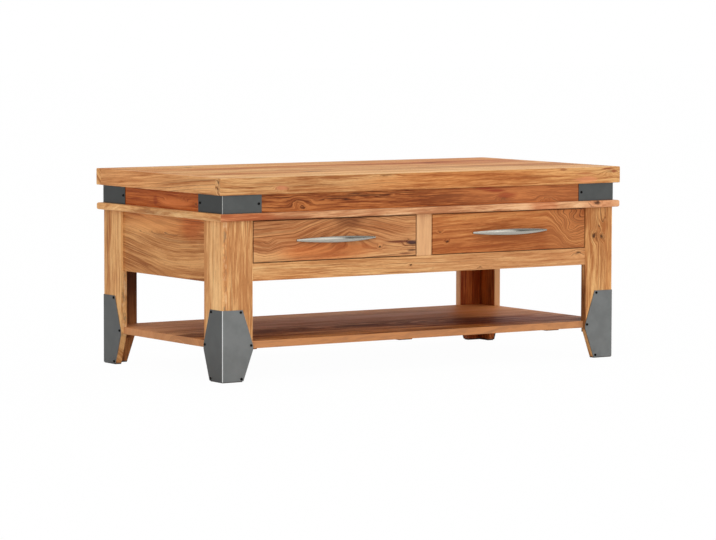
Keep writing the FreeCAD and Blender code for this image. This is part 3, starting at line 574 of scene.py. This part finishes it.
topPlank = {
    "gloss": 0.06, "stretch": 0.4, "contrast": 1.5, "lines": 0.7, "joints": 0.0011,
    "patches": (
        ((0.42, 0.12, 0.45), (0.36, 0.26, 0.2), (236, 206, 178), 0.9, "MULTIPLY"),
    ),
}
topBoards = {
    "top_front_edge": {
        "seed": 1.3, "pith": (0.05, 0.03), "lean": (1.6, 0.8), "lines": 0.6,
        "knots": (
            ((-0.115, -0.275, 0.4465), (0.06, 0.05, 0.006), 0.004, 0.7, 0.6),
            ((-0.392, -0.275, 0.426), (0.03, 0.05, 0.01), 0.01, 0.0, 0.4),
            ((0.52, -0.275, 0.438), (0.036, 0.05, 0.012), 0.008, 0.3, 0.5),
            ((-0.55, -0.266, 0.44), (0.02, 0.012, 0.012), 0.01, 0.9, 1.0),
            ((-0.55, -0.262, 0.427), (0.02, 0.01, 0.01), 0.008, 0.8, 1.0),
        ),
        "patches": (
            ((0.1, -0.275, 0.43), (0.34, 0.05, 0.03), (242, 206, 172), 0.6, "MULTIPLY"),
            ((-0.35, -0.275, 0.43), (0.36, 0.05, 0.1), (236, 232, 236), 0.9, "MULTIPLY"),
            ((-0.392, -0.275, 0.425), (0.022, 0.02, 0.006), (196, 116, 84), 0.6, "MIX"),
            # painted highlight: a pale line along the top of the front edge, where its rounded arris
            # catches the light
            ((0.0, -0.264, 0.4515), (0.9, 0.03, 0.003), (236, 190, 126), 0.8, "MIX"),
            ((0.512, -0.275, 0.4455), (0.02, 0.05, 0.0035), (140, 66, 36), 0.8, "MIX"),
            ((0.532, -0.275, 0.4395), (0.012, 0.05, 0.005), (140, 66, 36), 0.8, "MIX"),
            ((0.383, -0.275, 0.4465), (0.014, 0.05, 0.004), (140, 76, 42), 0.7, "MIX"),
            ((0.446, -0.275, 0.436), (0.036, 0.05, 0.003), (166, 94, 52), 0.7, "MIX"),
            ((0.45, -0.275, 0.421), (0.04, 0.05, 0.01), (230, 146, 104), 0.5, "MIX"),
        ),
    },
    "top_back_edge": {"seed": 2.1, "lines": 0.6, "stretch": 0.5},
    "top_left_end": {
        "grain": "y", "tones": "topEnd", "seed": 3.4, "pith": (0.05, 0.03), "lean": (2.5, 4.5),
        "lines": 0.6, "contrast": 1.3, "stretch": 0.4,
    },
    "top_right_end": {"grain": "y", "seed": 4.2, "lean": (3.0, 2.0)},
    "top_plank_1": {**topPlank, "seed": 5.6, "tones": "pale"},
    "top_plank_2": {
        **topPlank, "seed": 6.1,
        "knots": (
            ((-0.2, -0.105, 0.45), (0.11, 0.036, 0.05), 0.02, 0.8, 0.8),
        ),
    },
    "top_plank_3": {**topPlank, "seed": 7.9, "tones": "honey"},
    "top_plank_4": {
        **topPlank, "seed": 8.3, "tones": "amber",
        "knots": (
            ((0.27, 0.11, 0.45), (0.07, 0.026, 0.05), 0.014, 0.9, 0.7),
        ),
    },
    "top_plank_5": {
        **topPlank, "seed": 9.7, "tones": "honey",
        "knots": (
            ((-0.35, 0.2, 0.45), (0.05, 0.02, 0.05), 0.012, 0.8, 0.7),
        ),
    },
    "top_battens": {"grain": "y", "seed": 10.4},
}
dressBoards(topBoards)
print("top dressed")

friezeBoards = {
    "frieze_front": {
        "tones": "russet", "seed": 11.2, "contrast": 2.1, "blush": 0.1, "streaks": 0.9, "lines": 0.9,
        "knots": (
            ((-0.334, -0.262, 0.392), (0.05, 0.05, 0.021), 0.014, 0.1, 0.6),
            ((-0.329, -0.262, 0.38), (0.026, 0.05, 0.007), 0.006, 0.6, 0.6),
            ((-0.245, -0.262, 0.3965), (0.06, 0.05, 0.005), 0.004, 0.6, 0.8),
            ((-0.165, -0.262, 0.4), (0.07, 0.05, 0.005), 0.004, 0.7, 0.8),
            ((-0.095, -0.262, 0.403), (0.05, 0.05, 0.004), 0.004, 0.5, 0.8),
            ((-0.195, -0.262, 0.4075), (0.055, 0.05, 0.005), 0.004, 0.6, 0.7),
            ((0.222, -0.262, 0.3865), (0.036, 0.05, 0.011), 0.01, 0.4, 1.0),
            ((0.352, -0.262, 0.381), (0.05, 0.05, 0.016), 0.014, 0.1, 0.9),
        ),
        "patches": (
            ((0.3, -0.262, 0.39), (0.3, 0.05, 0.06), (206, 128, 76), 0.35, "MIX"),
            ((0.168, -0.262, 0.4085), (0.034, 0.05, 0.004), (146, 60, 34), 0.8, "MIX"),
            ((0.198, -0.262, 0.402), (0.036, 0.05, 0.005), (146, 60, 34), 0.8, "MIX"),
            ((0.232, -0.262, 0.391), (0.034, 0.05, 0.008), (150, 64, 36), 0.7, "MIX"),
        ),
    },
    "frieze_back": {
        "tones": "red", "seed": 12.8, "contrast": 1.7, "blush": 0.1, "lines": 0.8, "stretch": 0.45,
        "knots": (
            ((0.2, 0.262, 0.392), (0.05, 0.05, 0.018), 0.012, 0.5, 0.8),
            ((-0.28, 0.262, 0.386), (0.06, 0.05, 0.014), 0.012, 0.3, 0.9),
        ),
    },
    "frieze_left": {
        "grain": "y", "tones": "red", "seed": 13.5, "lines": 0.35, "contrast": 1.2, "blush": 0.1,
        "stretch": 0.45,
        "patches": (
            ((-0.537, -0.055, 0.386), (0.05, 0.085, 0.014), (218, 126, 66), 0.5, "MIX"),
            ((-0.537, 0.026, 0.388), (0.05, 0.014, 0.014), (196, 150, 122), 0.6, "MULTIPLY"),
        ),
        "knots": (
            ((-0.537, -0.06, 0.388), (0.05, 0.09, 0.016), 0.012, 0.0, 0.2),
            ((-0.537, -0.15, 0.388), (0.05, 0.01, 0.012), 0.006, 0.7, 0.6),
        ),
    },
    "frieze_right": {
        "grain": "y", "tones": "red", "seed": 14.9, "lines": 0.5, "contrast": 1.3, "blush": 0.1,
        "stretch": 0.45,
        "knots": (
            ((0.537, 0.05, 0.388), (0.05, 0.08, 0.016), 0.012, 0.1, 0.5),
        ),
    },
}
dressBoards(friezeBoards)
print("frieze dressed")

ledgeBoards = {
    "ledge_front": {
        "tones": "rose", "seed": 15.1, "pith": (0.05, 0.02), "lines": 0.4, "blush": 0.1,
        "knots": (
            ((0.482, -0.274, 0.366), (0.034, 0.05, 0.012), 0.008, 0.8, 0.8),
        ),
        "patches": (
            ((-0.49, -0.274, 0.362), (0.12, 0.05, 0.03), (230, 184, 162), 0.9, "MULTIPLY"),
            ((-0.36, -0.274, 0.356), (0.09, 0.05, 0.008), (196, 164, 146), 0.7, "MULTIPLY"),
            ((0.33, -0.274, 0.362), (0.05, 0.05, 0.03), (226, 178, 156), 0.7, "MULTIPLY"),
            ((0.5, -0.274, 0.362), (0.08, 0.05, 0.03), (226, 184, 164), 0.6, "MULTIPLY"),
        ),
    },
    "ledge_back": {"seed": 16.6},
    "ledge_left": {"grain": "y", "tones": "pale", "seed": 17.3, "pith": (0.05, 0.02)},
    "ledge_right": {"grain": "y", "seed": 18.7},
}
dressBoards(ledgeBoards)
print("ledge dressed")

# painted shade: a grey band over the bottom few millimetres of each leg board, where it meets the floor
footShade = ((0.0, 0.0, 0.0), (3.0, 3.0, 0.0045), (84, 80, 76), 1.0, "MIX")
# darker and redder over the whole of the back right leg
darkRedTint = ((0.5, 0.22, 0.2), (0.4, 0.4, 0.6), (230, 188, 146), 1.0, "MULTIPLY")
plainLeg = {"grain": "z", "patches": (footShade,)}
legBoards = {
    "front_left_leg_side": {
        **plainLeg, "tones": "pale", "seed": 19.4, "pith": (0.1, 0.05), "lines": 0.3, "blush": 0.2,
        "seam": (-0.531, -0.262, 0.0075, 0.36),
    },
    "front_left_leg_face": {
        **plainLeg, "tones": "honey", "seed": 20.8, "pith": (0.09, 0.03), "lines": 0.9, "blush": 0.0,
        "contrast": 1.6,
    },
    "front_right_leg_side": {**plainLeg, "seed": 21.5, "contrast": 1.25, "stretch": 0.45},
    "front_right_leg_face": {
        **plainLeg, "seed": 22.9, "pith": (0.06, 0.05), "lines": 0.4,
        "knots": (
            ((0.484, -0.262, 0.288), (0.018, 0.05, 0.024), 0.012, 0.9, 0.5),
            ((0.506, -0.262, 0.285), (0.014, 0.05, 0.02), 0.012, 0.9, 0.5),
            ((0.5, -0.262, 0.34), (0.022, 0.05, 0.07), 0.016, 0.0, 0.9),
        ),
        "patches": (
            # painted shade: the leg's inner edge under the table darkened
            ((0.459, -0.254, 0.11), (0.004, 0.2, 0.13), (150, 128, 112), 0.9, "MULTIPLY"),
            footShade,
        ),
    },
    "back_left_leg_side": {
        **plainLeg, "seed": 23.6, "pith": (0.12, 0.04), "blush": 0.2,
        "seam": (-0.529, 0.184, 0.0095, 0.22),
    },
    "back_left_leg_face": {
        **plainLeg, "tones": "brown", "seed": 24.2,
        "patches": (
            # painted shade: the leg's inner face under the table darkened
            ((-0.49, 0.2455, 0.21), (0.3, 0.006, 0.15), (112, 92, 80), 0.95, "MULTIPLY"),
            footShade,
        ),
    },
    "back_right_leg_side": {
        **plainLeg, "tones": "brown", "seed": 25.7,
        "patches": (
            darkRedTint,
            # painted light: the board's front edge made pale, as where light falls on it
            ((0.529, 0.1825, 0.2), (0.05, 0.006, 0.5), (226, 172, 122), 1.0, "MIX"),
            footShade,
        ),
    },
    "back_right_leg_face": {
        **plainLeg, "tones": "orange", "seed": 26.1,
        "patches": (
            darkRedTint,
            # painted light: the board's inner edge made pale, as where light falls on it
            ((0.4575, 0.25, 0.2), (0.006, 0.05, 0.5), (226, 172, 126), 1.0, "MIX"),
            footShade,
        ),
    },
}
dressBoards(legBoards)
print("legs dressed")

caseBoards = {
    "front_rail": {
        "tones": "honey", "seed": 27.5, "streaks": 0.3, "contrast": 1.1, "pith": (0.06, 0.03),
        "knots": (
            ((-0.038, -0.26, 0.24), (0.012, 0.05, 0.008), 0.006, 0.9, 0.4),
            ((0.157, -0.26, 0.228), (0.012, 0.05, 0.006), 0.005, 0.7, 0.4),
            ((0.438, -0.26, 0.249), (0.032, 0.05, 0.014), 0.008, 0.8, 0.8),
        ),
        "patches": (
            ((0.38, -0.26, 0.235), (0.6, 0.05, 0.2), (234, 221, 218), 1.0, "MULTIPLY"),
        ),
    },
    "front_stile": {
        "grain": "z", "tones": "pale", "seed": 28.9, "streaks": 0.1, "contrast": 0.7, "lines": 0.1,
        "patches": (
            ((0.0, -0.26, 0.3), (0.3, 0.3, 0.3), (212, 166, 130), 0.4, "MIX"),
        ),
    },
    "left_end_panel": {
        "grain": "y", "tones": "panel", "seed": 29.3, "pith": (0.08, 0.03), "lean": (4.0, -2.0),
        "lines": 0.6, "contrast": 1.25, "blush": 0.15, "stretch": 0.4,
        "swells": (
            ((-0.531, -0.02, 0.24), (0.3, 0.26, 0.18), 0.022),
        ),
        "knots": (
            ((-0.531, 0.03, 0.312), (0.05, 0.14, 0.007), 0.004, 0.3, 0.8),
        ),
        "patches": (
            # painted shade: darker and redder along the top, under the ledge
            ((-0.531, -0.02, 0.35), (0.05, 0.24, 0.05), (255, 214, 160), 0.6, "MULTIPLY"),
            ((-0.531, -0.125, 0.34), (0.05, 0.07, 0.05), (240, 182, 138), 0.6, "MULTIPLY"),
            ((-0.531, 0.04, 0.335), (0.05, 0.15, 0.03), (238, 172, 106), 0.4, "MIX"),
        ),
    },
    "right_end_panel": {
        "grain": "y", "tones": "tan", "seed": 30.6, "pith": (0.08, 0.03), "lean": (3.5, 1.5),
        "lines": 0.6, "contrast": 1.25, "stretch": 0.4,
        "swells": (
            ((0.531, 0.05, 0.25), (0.3, 0.22, 0.16), 0.02),
        ),
        "knots": (
            ((0.531, -0.08, 0.295), (0.05, 0.05, 0.026), 0.016, 0.8, 0.8),
        ),
        "patches": (
            ((0.531, 0.1, 0.33), (0.05, 0.14, 0.05), (246, 200, 158), 0.6, "MULTIPLY"),
        ),
    },
    "back_panel": {
        "seed": 31.4, "pith": (0.08, 0.03), "lean": (2.5, -1.0), "lines": 0.7, "contrast": 1.25,
        "stretch": 0.4,
        "swells": (
            ((0.12, 0.256, 0.24), (0.34, 0.3, 0.16), 0.02),
        ),
        "knots": (
            ((-0.24, 0.256, 0.3), (0.07, 0.05, 0.03), 0.02, 0.9, 0.8),
            ((0.33, 0.256, 0.255), (0.035, 0.05, 0.016), 0.01, 0.8, 0.6),
        ),
        "patches": (
            ((0.3, 0.256, 0.29), (0.2, 0.05, 0.08), (240, 190, 150), 0.7, "MULTIPLY"),
            ((-0.36, 0.256, 0.27), (0.14, 0.05, 0.08), (244, 206, 168), 0.7, "MULTIPLY"),
        ),
    },
    "centre_divider": {"grain": "y", "seed": 32.2},
    "drawer_runners": {"grain": "y", "seed": 33.8},
    "drawer_kickers": {"grain": "y", "seed": 34.5},
    "drawer_stops": {"seed": 35.1},
}
dressBoards(caseBoards)
print("case dressed")

# painted light: pale edges all round the shelf, lighter than its top as where light falls on them
shelfEdge = ((190, 134, 92), 0.75, "MIX")
shelfEdges = [((0.0, y, 0.079), (2.0, 0.004, 0.1), *shelfEdge) for y in (-0.2555, 0.2555)]
shelfEdges += [((x, 0.0, 0.079), (0.004, 2.0, 0.1), *shelfEdge) for x in (-0.5305, 0.5305)]
shelfBoards = {
    "shelf_planks": {
        "tones": "brown", "seed": 36.3, "contrast": 3.0, "lines": 0.9, "streaks": 0.7, "blush": 0.1,
        "gloss": 0.08, "planks": ("y", -0.255, 0.102),
        "patches": (
            # painted shade and light: the front and front right darker, the back and the right end
            # lighter, as light falls under the table
            ((-0.12, -0.2, 0.088), (0.8, 0.16, 0.05), (250, 230, 178), 1.0, "MULTIPLY"),
            ((0.24, -0.15, 0.088), (0.1, 0.06, 0.05), (190, 150, 120), 0.8, "MULTIPLY"),
            ((0.0, 0.14, 0.088), (1.2, 0.2, 0.05), (222, 150, 90), 0.6, "MIX"),
            ((0.43, 0.05, 0.088), (0.16, 0.24, 0.05), (230, 152, 90), 0.55, "MIX"),
            ((0.3, -0.13, 0.088), (0.28, 0.1, 0.05), (186, 136, 84), 0.9, "MULTIPLY"),
            *shelfEdges,
        ),
    },
    "shelf_battens": {"grain": "y", "tones": "brown", "seed": 37.7},
    "shelf_corner_blocks": {"tones": "brown", "seed": 38.2},
}
dressBoards(shelfBoards)
print("shelf dressed")

drawerPly = {"tones": "pale", "contrast": 0.5, "streaks": 0.0, "lines": 0.1}
drawerBoards = {
    "left_drawer_front": {
        "tones": "tan", "seed": 39.6, "pith": (-0.09, 0.03), "lean": (3.0, 1.0), "lines": 1.0,
        "contrast": 1.05, "stretch": 0.5, "revealShade": (0.002, 0.75),
        "crotches": (
            ((-0.202, -0.26, 0.352), (0.15, 0.2, 0.085), -0.038),
        ),
        "knots": (
            ((-0.1205, -0.26, 0.285), (0.011, 0.05, 0.01), 0.006, 1.0, 0.3),
            ((-0.03, -0.26, 0.289), (0.045, 0.05, 0.018), 0.012, 0.7, 1.0),
            ((-0.42, -0.26, 0.293), (0.046, 0.05, 0.03), 0.01, 0.0, 0.5),
        ),
        "patches": (
            ((-0.26, -0.26, 0.283), (0.16, 0.05, 0.03), (240, 182, 138), 0.7, "MULTIPLY"),
            ((-0.205, -0.26, 0.352), (0.05, 0.05, 0.03), (150, 110, 80), 0.6, "MULTIPLY"),
            ((-0.066, -0.26, 0.2945), (0.05, 0.05, 0.0035), (96, 44, 30), 0.85, "MIX"),
            ((-0.033, -0.26, 0.2915), (0.02, 0.05, 0.006), (70, 44, 44), 0.85, "MIX"),
            ((-0.034, -0.26, 0.274), (0.016, 0.05, 0.003), (84, 52, 36), 0.8, "MIX"),
            ((-0.052, -0.26, 0.267), (0.02, 0.05, 0.003), (110, 62, 44), 0.7, "MIX"),
        ),
    },
    "right_drawer_front": {
        "tones": "orange", "seed": 40.4, "pith": (-0.08, 0.03), "lean": (3.0, 1.0), "lines": 0.6,
        "contrast": 1.0, "bands": 140.0, "revealShade": (0.0018, 0.4),
        "knots": (
            ((0.468, -0.26, 0.322), (0.13, 0.12, 0.1), 0.075, 0.0, 1.0),
            ((0.422, -0.26, 0.285), (0.055, 0.12, 0.045), 0.03, 0.0, 1.0),
            ((0.064, -0.26, 0.289), (0.014, 0.05, 0.01), 0.008, 0.8, 0.4),
            ((0.044, -0.26, 0.312), (0.014, 0.05, 0.008), 0.008, 0.6, 0.4),
        ),
        "patches": (
            ((0.41, -0.26, 0.3), (0.09, 0.05, 0.07), (204, 146, 92), 0.12, "MIX"),
        ),
    },
    "left_drawer_sides": {"grain": "y", "seed": 41.9},
    "right_drawer_sides": {"grain": "y", "seed": 42.5},
    "left_drawer_back": {"seed": 43.3},
    "right_drawer_back": {"seed": 44.8},
    "left_drawer_bottom": {**drawerPly, "seed": 45.2},
    "right_drawer_bottom": {**drawerPly, "seed": 46.6},
}
dressBoards(drawerBoards)
print("drawers dressed")

legSteel = {
    "grey": (126, 128, 127),
    "dark": (118, 120, 119),
    "cloudScale": 26.0,
    "cloudEdges": (0.35, 0.65),
    "sideShade": 0.42,      # painted shade: how much darker the flanges at the ends are
    "sideEdges": (0.6, 0.9),
    "worn": (225, 226, 224),
    "wornWidth": 0.0022,
    "wornEdge": 0.3,
    "rough": (0.33, 0.38),
    "roughEdges": (0.3, 0.7),
    "speckScale": 900.0,
    "bump": (0.06, 0.0003),
    "metallic": 0.85,
}
# the corner brackets' darker grey is partly painted shade under the top's overhang
cornerSteel = {
    **legSteel,
    "grey": (91, 93, 92),
    "dark": (86, 88, 87),
    "worn": (190, 190, 186),
    "wornWidth": 0.0016,
}


def steelMaterial(name, corner, look):
    # painted sheet, worn bright along the bend at the corner, with painted shade on the flanges at the
    # ends
    paint, tree, coordinates = startPaint(name)
    here = coordinates["Object"]
    cloud = noise(tree, here, scale=look["cloudScale"], detail=4.0, roughness=0.6)
    speck = noise(tree, here, scale=look["speckScale"])
    bright = fade(tree, cloud, *look["cloudEdges"])
    colour = blendColour(tree, bright, rgb(look["dark"]), rgb(look["grey"]))
    folded = vectorSums(tree, "ABSOLUTE", here)
    near = addNode(tree, "ShaderNodeMapping", {"Vector": folded, "Location": (*corner, 0.0)},
                   vector_type="TEXTURE").outputs[0]
    away = vectorSums(tree, "LENGTH", vectorSums(tree, "MULTIPLY", near, (1, 1, 0)))
    worn = fade(tree, away, look["wornWidth"] * look["wornEdge"], look["wornWidth"], 1.0, 0.0)
    colour = blendColour(tree, worn, colour, rgb(look["worn"]))
    # painted shade: the flanges that face the ends are darkened
    turned = sums(tree, "ABSOLUTE", splitAxes(tree, coordinates["Normal"])["X"])
    endShade = fade(tree, turned, *look["sideEdges"], 0.0, look["sideShade"])
    colour = blendColour(tree, endShade, colour, rgb((0, 0, 0)))
    rough = fade(tree, cloud, *look["roughEdges"], *look["rough"])
    finishPaint(tree, colour, rough, speck, look["bump"], Metallic=look["metallic"])
    return paint


for kind, look in (("leg_bracket", legSteel), ("corner_bracket", cornerSteel)):
    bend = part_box("front_left_" + kind)[0]
    steel = steelMaterial(kind.replace("_b", "B") + "Steel", (-bend.x, -bend.y), look)
    for corner in ("front_left", "front_right", "back_left", "back_right"):
        dress(f"{corner}_{kind}", steel)
print("brackets dressed")

brushedMetal = {
    "brushEdges": (0.3, 0.7),
    "bump": (0.1, 0.0002),
    "grain": (400, 400, 400),
}
blackScrew = {**brushedMetal, "tone": (34, 34, 34), "shade": (22, 22, 22), "rough": (0.5, 0.35)}
zincScrew = {**brushedMetal, "tone": (176, 178, 176), "shade": (150, 152, 150), "rough": (0.45, 0.3)}
satinNickel = {
    **brushedMetal,
    "tone": (186, 182, 172),
    "shade": (166, 162, 153),
    "rough": (0.20, 0.14),
    "grain": (30, 900, 900),    # brushed along the handle
}


def metalMaterial(name, look):
    paint, tree, coordinates = startPaint(name)
    brushed = noise(tree, vectorSums(tree, "MULTIPLY", coordinates["Object"], look["grain"]), detail=3.0)
    bright = fade(tree, brushed, *look["brushEdges"])
    colour = blendColour(tree, bright, rgb(look["shade"]), rgb(look["tone"]))
    rough = fade(tree, brushed, *look["brushEdges"], *look["rough"])
    finishPaint(tree, colour, rough, brushed, look["bump"], Metallic=1.0)
    return paint


metalPieces = {
    "blackScrew": (blackScrew, ("leg_bracket_screws", "corner_bracket_screws")),
    "zincScrew": (zincScrew, ("left_drawer_handle_screws", "right_drawer_handle_screws")),
    "satinNickel": (satinNickel, ("left_drawer_handle", "right_drawer_handle")),
}
for finish, (look, pieces) in metalPieces.items():
    metal = metalMaterial(finish, look)
    for piece in pieces:
        dress(piece, metal)
print("handles and screws dressed")

boxes = {"cad": cadBox, "visual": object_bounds()}
{key: [list(corner) for corner in pair] for key, pair in boxes.items()}
